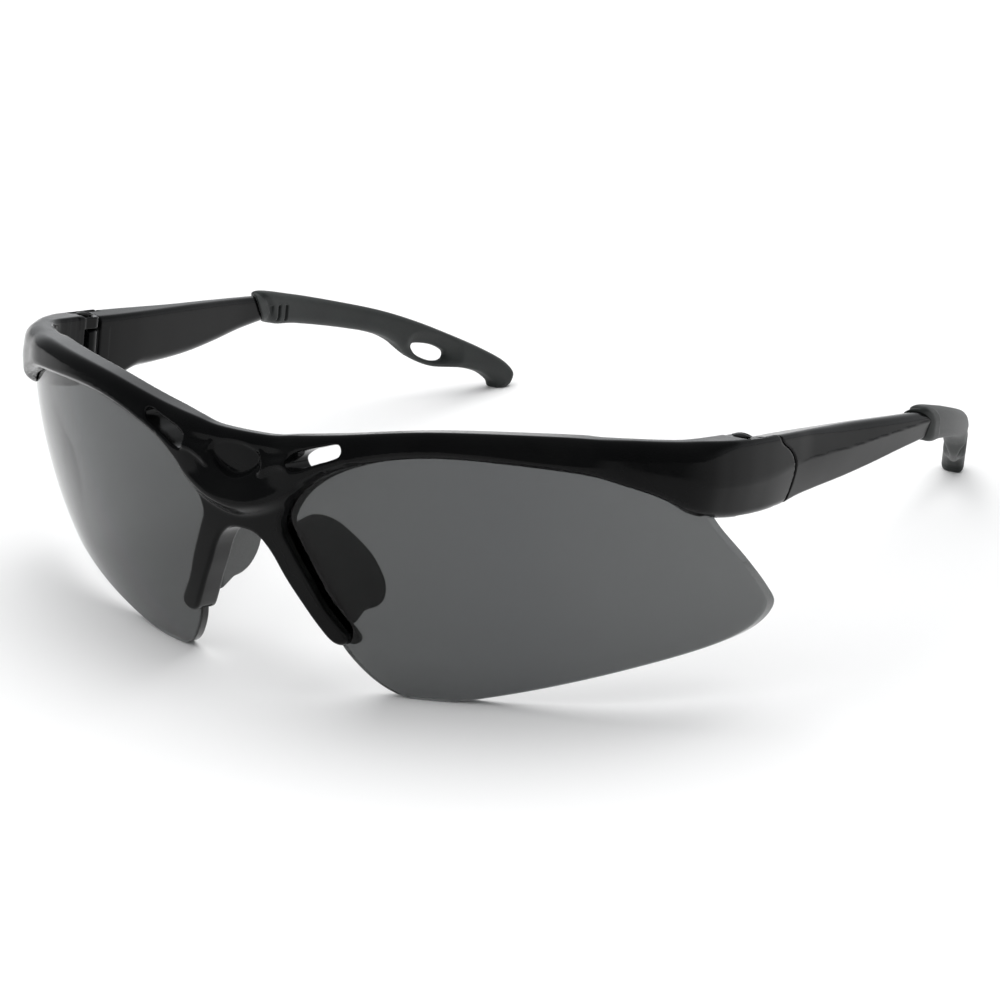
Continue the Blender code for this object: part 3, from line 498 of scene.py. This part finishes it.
def tip_field(x, y, z):
    """Rubber sleeve with a lip round the arm's end, grooves on its inner side and a slot for a cord."""
    across = x - along(BOW, y)
    bend = (along(BOW, y + 0.1) - along(BOW, y)) / 0.1
    slot = CORD(y, z)
    thin = TIP_HALF_THICKNESS - CORD_WEB * step(-slot, -3.0, 0.0)
    body = round_max(TIP(y, z), np.abs(across) / np.sqrt(1.0 + bend ** 2) - thin, 1.5)
    body = round_max(body, -slot, 0.9)
    from_collar = y - COLLAR_Y + COLLAR_SLANT * z - COLLAR_PLAN * across
    lip_ends = np.abs(from_collar - LIP_LENGTH / 2) - LIP_LENGTH / 2
    lip = round_max(temple_section(x, y, z) - LIP_PROUD, lip_ends, 0.45)
    body = round_min(body, lip, 0.6)
    for place in GROOVE_PLACES:
        ends = np.abs(z - GROOVE_MIDDLE) - GROOVE_HALF_LENGTH
        groove = np.maximum(np.abs(y - place) - GROOVE_HALF_WIDTH, ends)
        groove = round_max(groove, across + TIP_HALF_THICKNESS - GROOVE_DEPTH, 0.1)
        body = round_max(body, -groove, 0.2)
    return round_max(body, floor_field(y, z), 0.15)


def pad_field(x, y, z):
    """A leaf of rubber on a splayed plane, cut off where it meets the back of the nose leg."""
    share = (z - PAD_TOP[2]) / (PAD_BOTTOM[2] - PAD_TOP[2])
    leg_x = PAD_TOP[0] + share * (PAD_BOTTOM[0] - PAD_TOP[0])
    leg_y = PAD_TOP[1] + share * (PAD_BOTTOM[1] - PAD_TOP[1])
    middle = leg_x + (y - leg_y) * math.tan(PAD_SPLAY)
    flat = np.abs(x - middle) * math.cos(PAD_SPLAY) * PAD_SLENDER - PAD_HALF_THICKNESS
    leaf = round_max(PAD(y, z), flat, 1.1)
    behind_leg = distance(x, y, z, LENS_CENTRE) - BACK_RADIUS + PAD_GAP
    return round_max(leaf, behind_leg, 0.35)


def screw_field(x, y, z):
    """A slotted pan-head screw that stands on the upper lug."""
    off = np.hypot(x - HINGE_X, y - HINGE_Y)
    shank = round_max(off - SHANK_RADIUS, np.maximum(LUG_BOTTOM + SHANK_SHORT - z, z - LUG_TOP), 0.15)
    head_base = LUG_TOP + HEAD_GAP
    dome = np.sqrt(off ** 2 + (z - head_base + HEAD_DROP) ** 2) - HEAD_DOME
    head = round_max(round_max(off - HEAD_RADIUS, dome, 0.15), head_base - z, 0.08)
    slot = np.maximum(np.abs(y - HINGE_Y) - HEAD_SLOT_HALF_WIDTH, head_base + HEAD_SLOT_FLOOR - z)
    return np.maximum(np.minimum(shank, head), -slot)


# ---- meshes from fields ----------------------------------------------------------------------------------

def surface_net(field, low, high, cell):
    """Points and four-sided faces near the field's zero surface, found on a regular grid."""
    axes = [np.arange(a, b + cell, cell) for a, b in zip(low, high)]
    shape = tuple(len(axis) for axis in axes)
    grid = np.meshgrid(*axes, indexing="ij", sparse=True)
    values = np.broadcast_to(field(*grid), shape)
    inside = values < 0
    corners = [inside[i:shape[0] - 1 + i, j:shape[1] - 1 + j, k:shape[2] - 1 + k]
               for i in (0, 1) for j in (0, 1) for k in (0, 1)]
    active = np.logical_or.reduce(corners) & ~np.logical_and.reduce(corners)
    cells = np.argwhere(active)
    total = np.zeros((len(cells), 3))
    crossings = np.zeros(len(cells))
    for axis in range(3):
        for i in (0, 1):
            for j in (0, 1):
                start = np.zeros(3, int)
                start[(axis + 1) % 3], start[(axis + 2) % 3] = i, j
                end = start.copy()
                end[axis] = 1
                first = values[tuple((cells + start).T)]
                second = values[tuple((cells + end).T)]
                crossed = (first < 0) != (second < 0)
                share = np.where(crossed, first / np.where(crossed, first - second, 1.0), 0.0)
                total += crossed[:, None] * (start + share[:, None] * (end - start))
                crossings += crossed
    points = np.array(low) + (cells + total / crossings[:, None]) * cell
    number = np.full(active.shape, -1)
    number[tuple(cells.T)] = np.arange(len(cells))
    faces = []
    for axis in range(3):
        second, third = (axis + 1) % 3, (axis + 2) % 3
        ahead = np.roll(inside, -1, axis=axis)
        crossed = inside != ahead
        crossed[(slice(None),) * axis + (-1,)] = False
        nodes = np.argwhere(crossed)
        nodes = nodes[(nodes[:, second] > 0) & (nodes[:, third] > 0)]
        nodes = nodes[(nodes[:, second] < shape[second] - 1) & (nodes[:, third] < shape[third] - 1)]
        around = []
        for i, j in ((-1, -1), (0, -1), (0, 0), (-1, 0)):
            place = nodes.copy()
            place[:, second] += i
            place[:, third] += j
            around.append(number[tuple(place.T)])
        quads = np.stack(around, axis=1)
        outward = inside[tuple(nodes.T)]
        quads[~outward] = quads[~outward][:, ::-1]
        faces.append(quads)
    return points, np.concatenate(faces)


def gradient(field, points, reach):
    """Direction of steepest rise of the field at each point, of length 1 where it is a true distance."""
    rises = []
    for axis in range(3):
        shift = np.zeros(3)
        shift[axis] = reach
        rises.append((field(*(points + shift).T) - field(*(points - shift).T)) / (2 * reach))
    return np.stack(rises, axis=1)


def settled(field, points, faces, cell):
    """The points evened out along the surface and moved exactly onto it, and the normals there."""
    ends = np.concatenate([faces[:, [k, (k + 1) % 4]] for k in range(4)])
    counts = np.bincount(ends[:, 0], minlength=len(points))
    for smoothing in (0.5, 0.5, 0.0, 0.0):
        if smoothing:
            means = [np.bincount(ends[:, 0], points[ends[:, 1], axis], len(points)) / counts
                     for axis in range(3)]
            points = points * (1 - smoothing) + np.stack(means, axis=1) * smoothing
        slope = gradient(field, points, SLOPE_REACH)
        size = np.maximum((slope ** 2).sum(1), SMALLEST_SLOPE)
        move = field(*points.T) / size
        points = points - np.clip(move, -cell / 2, cell / 2)[:, None] * slope
    slope = gradient(field, points, NORMAL_REACH)
    normals = slope / np.maximum(np.linalg.norm(slope, axis=1), 1e-9)[:, None]
    return points, normals


def object_from(name, points, faces, normals, mirror=False):
    """A smooth-shaded object of points in the wearing frame, placed as the glasses rest."""
    if mirror:
        flip = np.array((-1.0, 1.0, 1.0))
        points, normals = points * flip, normals * flip
        faces = [face[::-1] for face in faces]
    placed = (points @ TILT.T + LIFT) * MM
    mesh = bpy.data.meshes.new(name)
    mesh.from_pydata(placed.tolist(), [], faces)
    mesh.shade_smooth()
    mesh.normals_split_custom_set_from_vertices((normals @ TILT.T).tolist())
    obj = bpy.data.objects.new(name, mesh)
    bpy.context.scene.collection.objects.link(obj)
    return obj


def dress(obj, node, body, material):
    obj.data.materials.append(material)
    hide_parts(node)
    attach(obj, body)


def field_piece(name, field, low, high, cell, material, bodies):
    """One piece for each side that bodies names, meshed from a field of the left one."""
    cell *= COARSE
    points, faces = surface_net(field, low, high, cell)
    points, normals = settled(field, points, faces, cell)
    for side, body in bodies.items():
        node = name + side
        obj = object_from(node + "_surface", points, faces.tolist(), normals, mirror=side == "_right")
        dress(obj, node, body, material)


def lens_rings():
    """Rings of points over the lens: out over its front, round its rim and back in behind."""
    path = closed_path(LENS_OUTLINE, LENS_POINT_SPACING)
    tangent = np.roll(path, -1, axis=0) - np.roll(path, 1, axis=0)
    tangent /= np.linalg.norm(tangent, axis=1)[:, None]
    outward = np.stack((tangent[:, 1], -tangent[:, 0]), axis=1)
    if ((path - np.array(LENS_MIDDLE)) * outward).sum() < 0:
        outward = -outward
    spread = np.stack((outward[:, 0], np.zeros(len(path)), outward[:, 1]), axis=1)
    inner = LENS_RADIUS - LENS_THICKNESS
    rings = []

    def add(flat, radius, facing, sideways):
        away = np.stack((flat[:, 0], np.zeros(len(flat)), flat[:, 1] - LENS_CENTRE[2]), axis=1)
        away[:, 1] = -np.sqrt(radius ** 2 - away[:, 0] ** 2 - away[:, 2] ** 2)
        normal = away / radius * facing + spread * sideways
        rings.append((LENS_CENTRE + away, normal / np.linalg.norm(normal, axis=1)[:, None]))

    middle = np.array(LENS_MIDDLE)
    inset = path - outward * LENS_RIM
    for share in LENS_RING_SHARES:
        add(middle + (inset - middle) * share, LENS_RADIUS, 1.0, 0.0)
    for angle in LENS_RIM_ANGLES:
        add(inset + outward * LENS_RIM * math.sin(angle), LENS_RADIUS - LENS_RIM * (1 - math.cos(angle)),
            math.cos(angle), math.sin(angle))
    for angle in LENS_RIM_ANGLES[::-1]:
        add(inset + outward * LENS_RIM * math.sin(angle), inner + LENS_RIM * (1 - math.cos(angle)),
            -math.cos(angle), math.sin(angle))
    for share in LENS_RING_SHARES[::-1]:
        add(middle + (inset - middle) * share, inner, -1.0, 0.0)
    return rings


def lens_piece(material):
    """Both lenses from their rings, with the lowest points raised to the surface the glasses rest on."""
    rings = lens_rings()
    count = len(rings[0][0])
    points = np.concatenate([ring[0] for ring in rings])
    normals = np.concatenate([ring[1] for ring in rings])
    below = np.maximum(floor_field(points[:, 1], points[:, 2]), 0.0)
    points[:, 2] += below / TILT[2, 2]
    normals[below > 0] = -TILT[2]
    faces = []
    for row in range(len(rings) - 1):
        for i in range(count):
            j = (i + 1) % count
            faces.append((row * count + i, row * count + j, (row + 1) * count + j, (row + 1) * count + i))
    faces.append(tuple(range(count))[::-1])
    faces.append(tuple(range((len(rings) - 1) * count, len(rings) * count)))
    a, b, c = (points[k] for k in faces[0][:3])
    if np.dot(np.cross(b - a, c - b), normals[0]) < 0:
        faces = [face[::-1] for face in faces]
    for side in ("_left", "_right"):
        obj = object_from("lens" + side + "_surface", points, faces, normals, mirror=side == "_right")
        dress(obj, "lens" + side, "front", material)


# ---- materials -------------------------------------------------------------------------------------------

# Where nearly all of a noise texture's values lie.
NOISE_LOW = 0.3
NOISE_HIGH = 0.7
# How far out from the middle the lens gets lighter, in metres.
LENS_REACH = 0.075


def new_material(name):
    material = bpy.data.materials.new(name)
    material.use_nodes = True
    nodes, links = material.node_tree.nodes, material.node_tree.links
    return material, nodes, links, nodes["Principled BSDF"]


def noise(nodes, links, scale, detail=4.0, roughness=0.5):
    """The value of a noise texture that stays with the object."""
    place = nodes.new("ShaderNodeTexCoord")
    made = nodes.new("ShaderNodeTexNoise")
    made.inputs["Scale"].default_value = scale
    made.inputs["Detail"].default_value = detail
    made.inputs["Roughness"].default_value = roughness
    links.new(place.outputs["Object"], made.inputs["Vector"])
    return made.outputs["Fac"]


def place_parts(nodes, links, kind):
    """The X, Y and Z outputs of a texture coordinate."""
    place = nodes.new("ShaderNodeTexCoord")
    parts = nodes.new("ShaderNodeSeparateXYZ")
    links.new(place.outputs[kind], parts.inputs["Vector"])
    return parts.outputs


def calculated(nodes, links, operation, *sources):
    made = nodes.new("ShaderNodeMath")
    made.operation = operation
    for source, socket in zip(sources, made.inputs):
        links.new(source, socket)
    return made.outputs["Value"]


def rescaled(nodes, links, source, start, end, low=0.0, high=1.0):
    """A source's values from start to end brought to the range from low to high."""
    made = nodes.new("ShaderNodeMapRange")
    for name, value in (("From Min", start), ("From Max", end), ("To Min", low), ("To Max", high)):
        made.inputs[name].default_value = value
    links.new(source, made.inputs["Value"])
    return made.outputs["Result"]


def colour_by(nodes, links, source, stops, shader):
    """Base colours blended along a source's value. stops are (place, colour)."""
    made = nodes.new("ShaderNodeValToRGB")
    elements = made.color_ramp.elements
    while len(elements) < len(stops):
        elements.new(0.5)
    for element, (place, colour) in zip(elements, stops):
        element.position = place
        element.color = (*colour, 1.0)
    links.new(source, made.inputs["Fac"])
    links.new(made.outputs["Color"], shader.inputs["Base Color"])


def roughness_by(nodes, links, source, low, high, shader):
    """Roughness from low to high along a noise's value."""
    links.new(rescaled(nodes, links, source, NOISE_LOW, NOISE_HIGH, low, high), shader.inputs["Roughness"])


def bump(nodes, links, source, strength, height, shader):
    made = nodes.new("ShaderNodeBump")
    made.inputs["Strength"].default_value = strength
    made.inputs["Distance"].default_value = height
    links.new(source, made.inputs["Height"])
    links.new(made.outputs["Normal"], shader.inputs["Normal"])


def gloss_plastic():
    """Polished black moulding with a faint waviness and fine handling marks."""
    material, nodes, links, shader = new_material("gloss_black_plastic")
    broad = noise(nodes, links, 90.0, 3.0)
    stops = ((NOISE_LOW, (0.002, 0.0021, 0.0023)), (NOISE_HIGH, (0.004, 0.0042, 0.0043)))
    colour_by(nodes, links, broad, stops, shader)
    marks = noise(nodes, links, 900.0, 6.0, 0.65)
    roughness_by(nodes, links, marks, 0.10, 0.19, shader)
    shader.inputs["Specular IOR Level"].default_value = 0.09
    waves = noise(nodes, links, 260.0, 2.0)
    bump(nodes, links, waves, 0.04, 0.0002, shader)
    return material


def matt_rubber():
    """Soft-touch rubber: matt, slightly green-grey, with a fine grain."""
    material, nodes, links, shader = new_material("matt_rubber")
    broad = noise(nodes, links, 160.0, 4.0)
    stops = ((NOISE_LOW, (0.010, 0.012, 0.0115)), (NOISE_HIGH, (0.015, 0.018, 0.017)))
    colour_by(nodes, links, broad, stops, shader)
    grain = noise(nodes, links, 5200.0, 3.0, 0.6)
    roughness_by(nodes, links, grain, 0.5, 0.68, shader)
    shader.inputs["Specular IOR Level"].default_value = 0.4
    shader.inputs["Sheen Weight"].default_value = 0.12
    bump(nodes, links, grain, 0.2, 0.00006, shader)
    return material


def smoke_lens():
    """Neutral smoke polycarbonate, a little lighter towards its outer end."""
    material, nodes, links, shader = new_material("smoke_lens")
    outwards = calculated(nodes, links, "ABSOLUTE", place_parts(nodes, links, "Object")["X"])
    share = rescaled(nodes, links, outwards, 0.0, LENS_REACH)
    stops = ((0.0, (0.086, 0.089, 0.088)), (0.55, (0.090, 0.093, 0.095)), (1.0, (0.115, 0.118, 0.118)))
    colour_by(nodes, links, share, stops, shader)
    film = noise(nodes, links, 120.0, 5.0, 0.6)
    roughness_by(nodes, links, film, 0.015, 0.035, shader)
    shader.inputs["Transmission Weight"].default_value = 1.0
    shader.inputs["IOR"].default_value = 1.25
    return material


def screw_steel():
    """Turned steel, dulled a little."""
    material, nodes, links, shader = new_material("screw_steel")
    broad = noise(nodes, links, 700.0, 4.0)
    stops = ((NOISE_LOW, (0.05, 0.05, 0.05)), (NOISE_HIGH, (0.12, 0.12, 0.12)))
    colour_by(nodes, links, broad, stops, shader)
    roughness_by(nodes, links, broad, 0.25, 0.4, shader)
    shader.inputs["Metallic"].default_value = 1.0
    return material


# ---- camera, light and floor -----------------------------------------------------------------------------

CAMERA_TARGET = Vector((0.0, -3.36, 9.67)) * MM
CAMERA_AZIMUTH = math.radians(31.27)
CAMERA_ELEVATION = math.radians(19.62)
CAMERA_ROLL = math.radians(0.13)
CAMERA_DISTANCE = 0.5301
CAMERA_LENS = 105.48
LIGHT_TARGET = Vector((0.0, 0.0, 0.02))
FLOOR_HALF_WIDTH = 6.0
FLOOR_DROP = 0.00003


def direction(azimuth, elevation):
    """From the object towards a place round it. Azimuth 0 is in front, and 90 to the wearer's left."""
    flat = math.cos(elevation)
    return Vector((math.sin(azimuth) * flat, -math.cos(azimuth) * flat, math.sin(elevation)))


def aim(obj, target, roll=0.0):
    turn = (target - obj.location).to_track_quat("-Z", "Y").to_matrix()
    obj.rotation_euler = (turn @ Matrix.Rotation(roll, 3, "Z")).to_euler()


def make_camera():
    data = bpy.data.cameras.new("camera")
    data.lens = CAMERA_LENS
    data.sensor_width = 36.0
    data.clip_start = 0.01
    camera = bpy.data.objects.new("camera", data)
    bpy.context.scene.collection.objects.link(camera)
    camera.location = CAMERA_TARGET + direction(CAMERA_AZIMUTH, CAMERA_ELEVATION) * CAMERA_DISTANCE
    aim(camera, CAMERA_TARGET, CAMERA_ROLL)
    bpy.context.scene.camera = camera


def softbox(name, azimuth, elevation, away, width, height, power):
    """A large soft lamp that lights the scene without showing as a shape on the glossy surfaces."""
    data = bpy.data.lights.new(name, "AREA")
    data.shape = "RECTANGLE"
    data.size, data.size_y = width, height
    data.energy = power
    light = bpy.data.objects.new(name, data)
    bpy.context.scene.collection.objects.link(light)
    light.location = direction(math.radians(azimuth), math.radians(elevation)) * away
    light.visible_camera = False
    light.visible_transmission = False
    light.visible_glossy = False
    aim(light, LIGHT_TARGET)


def make_world():
    """White where it is looked at, and for the light a dim dome with a bright band low down behind."""
    world = bpy.data.worlds.new("studio")
    bpy.context.scene.world = world
    world.use_nodes = True
    nodes, links = world.node_tree.nodes, world.node_tree.links
    dome = nodes["Background"]
    dome.inputs["Color"].default_value = (0.96, 0.98, 1.0, 1.0)
    parts = place_parts(nodes, links, "Generated")
    behind = rescaled(nodes, links, parts["Y"], 0.2, 0.8)
    low = rescaled(nodes, links, parts["Z"], 0.5, 0.15)
    band = calculated(nodes, links, "MULTIPLY", behind, low)
    links.new(rescaled(nodes, links, band, 0.0, 1.0, 0.2, 1.0), dome.inputs["Strength"])
    white = nodes.new("ShaderNodeBackground")
    white.inputs["Color"].default_value = (1.0, 1.0, 1.0, 1.0)
    rays = nodes.new("ShaderNodeLightPath").outputs
    seen = calculated(nodes, links, "MAXIMUM", rays["Is Camera Ray"], rays["Is Transmission Ray"])
    mix = nodes.new("ShaderNodeMixShader")
    links.new(seen, mix.inputs["Fac"])
    links.new(dome.outputs["Background"], mix.inputs[1])
    links.new(white.outputs["Background"], mix.inputs[2])
    links.new(mix.outputs["Shader"], nodes["World Output"].inputs["Surface"])


def make_floor():
    """A large pale sheet, a hair below the lowest points so that no two surfaces share a plane."""
    size = FLOOR_HALF_WIDTH
    mesh = bpy.data.meshes.new("floor")
    corners = [(-size, -size, 0.0), (size, -size, 0.0), (size, size, 0.0), (-size, size, 0.0)]
    mesh.from_pydata(corners, [], [(0, 1, 2, 3)])
    floor = bpy.data.objects.new("floor", mesh)
    floor.location.z = -FLOOR_DROP
    bpy.context.scene.collection.objects.link(floor)
    material, nodes, links, shader = new_material("pale_floor")
    stops = ((0.0, (0.9, 0.9, 0.9)), (1.0, (0.93, 0.93, 0.93)))
    colour_by(nodes, links, noise(nodes, links, 3.0), stops, shader)
    shader.inputs["Roughness"].default_value = 0.9
    shader.inputs["Specular IOR Level"].default_value = 0.0
    mesh.materials.append(material)


make_camera()
make_world()
make_floor()
softbox("overhead", 200.0, 80.0, 1.7, 2.6, 2.6, 44.0)
softbox("front_fill", -20.0, 40.0, 1.6, 1.6, 1.0, 9.0)
bpy.context.scene.view_settings.view_transform = "Standard"

plastic = gloss_plastic()
rubber = matt_rubber()
both_front = {"_left": "front", "_right": "front"}
both_arms = {"_left": "left_temple", "_right": "right_temple"}
field_piece("front_frame", front_field, (-72.0, -48.5, -42.5), (72.0, 16.0, 2.0), 0.36,
            plastic, {"": "front"})
field_piece("temple", temple_field, (61.5, -2.5, -15.0), (73.0, 70.0, 1.5), 0.35,
            plastic, both_arms)
field_piece("temple_tip", tip_field, (46.0, 57.0, -24.0), (74.0, 132.0, 1.6), 0.35,
            rubber, both_arms)
field_piece("nose_pad", pad_field, (4.0, -38.0, -39.0), (18.0, -14.0, -18.5), 0.25,
            rubber, both_front)
field_piece("hinge_screw", screw_field, (63.2, -1.2, -12.2), (67.8, 3.6, 0.6), 0.12,
            screw_steel(), both_front)
lens_piece(smoke_lens())
